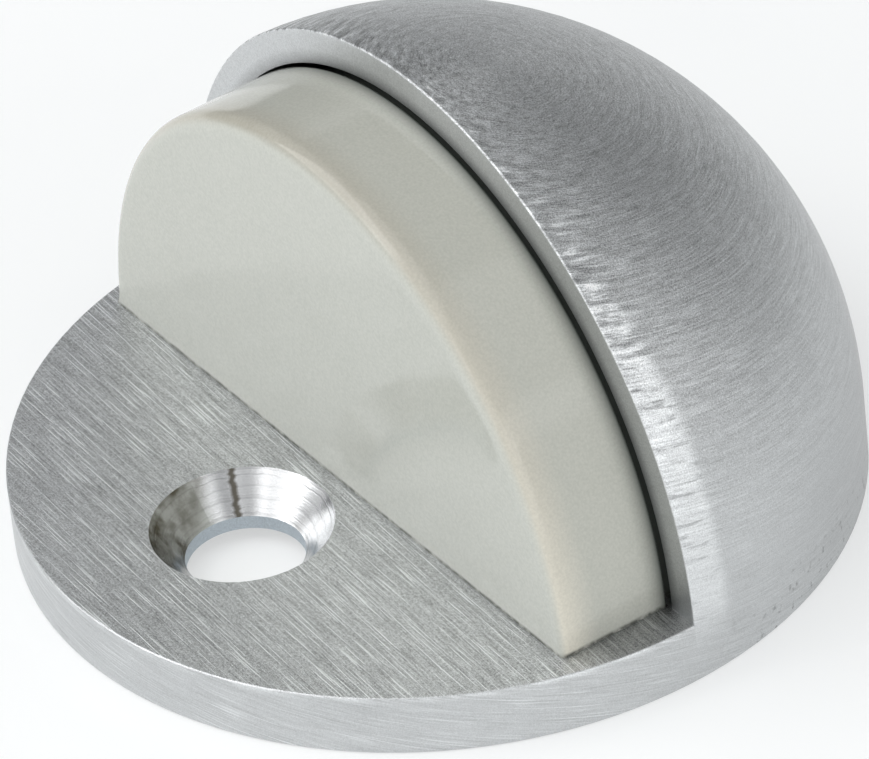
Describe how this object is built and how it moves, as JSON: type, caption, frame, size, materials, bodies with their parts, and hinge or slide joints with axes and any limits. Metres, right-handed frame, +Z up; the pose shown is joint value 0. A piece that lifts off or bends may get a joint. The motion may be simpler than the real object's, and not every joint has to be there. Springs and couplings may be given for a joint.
{
  "type": "door stop",
  "caption": "Low dome floor door stop: a satin metal base and dome cast in one piece, with a grey rubber bumper in its open front and a countersunk hole for a floor screw.",
  "frame": {"origin": "centre of the base circle, in the plane of the floor", "axes": "+Z up out of the floor; the bumper's front face looks along -Y, towards the door; X runs along the bumper's face"},
  "size_m": [0.0444, 0.0444, 0.0257],
  "materials": {
    "satin_metal": "brushed, satin plated",
    "grey_rubber": "smooth moulded",
    "brass_insert": "turned",
    "zinc_steel": "bright zinc plated"
  },
  "bodies": {
    "root": {"dome_casting": "satin_metal", "rubber_bumper": "grey_rubber", "bumper_insert": "brass_insert", "bumper_screw": "zinc_steel"}
  },
  "joints": []
}
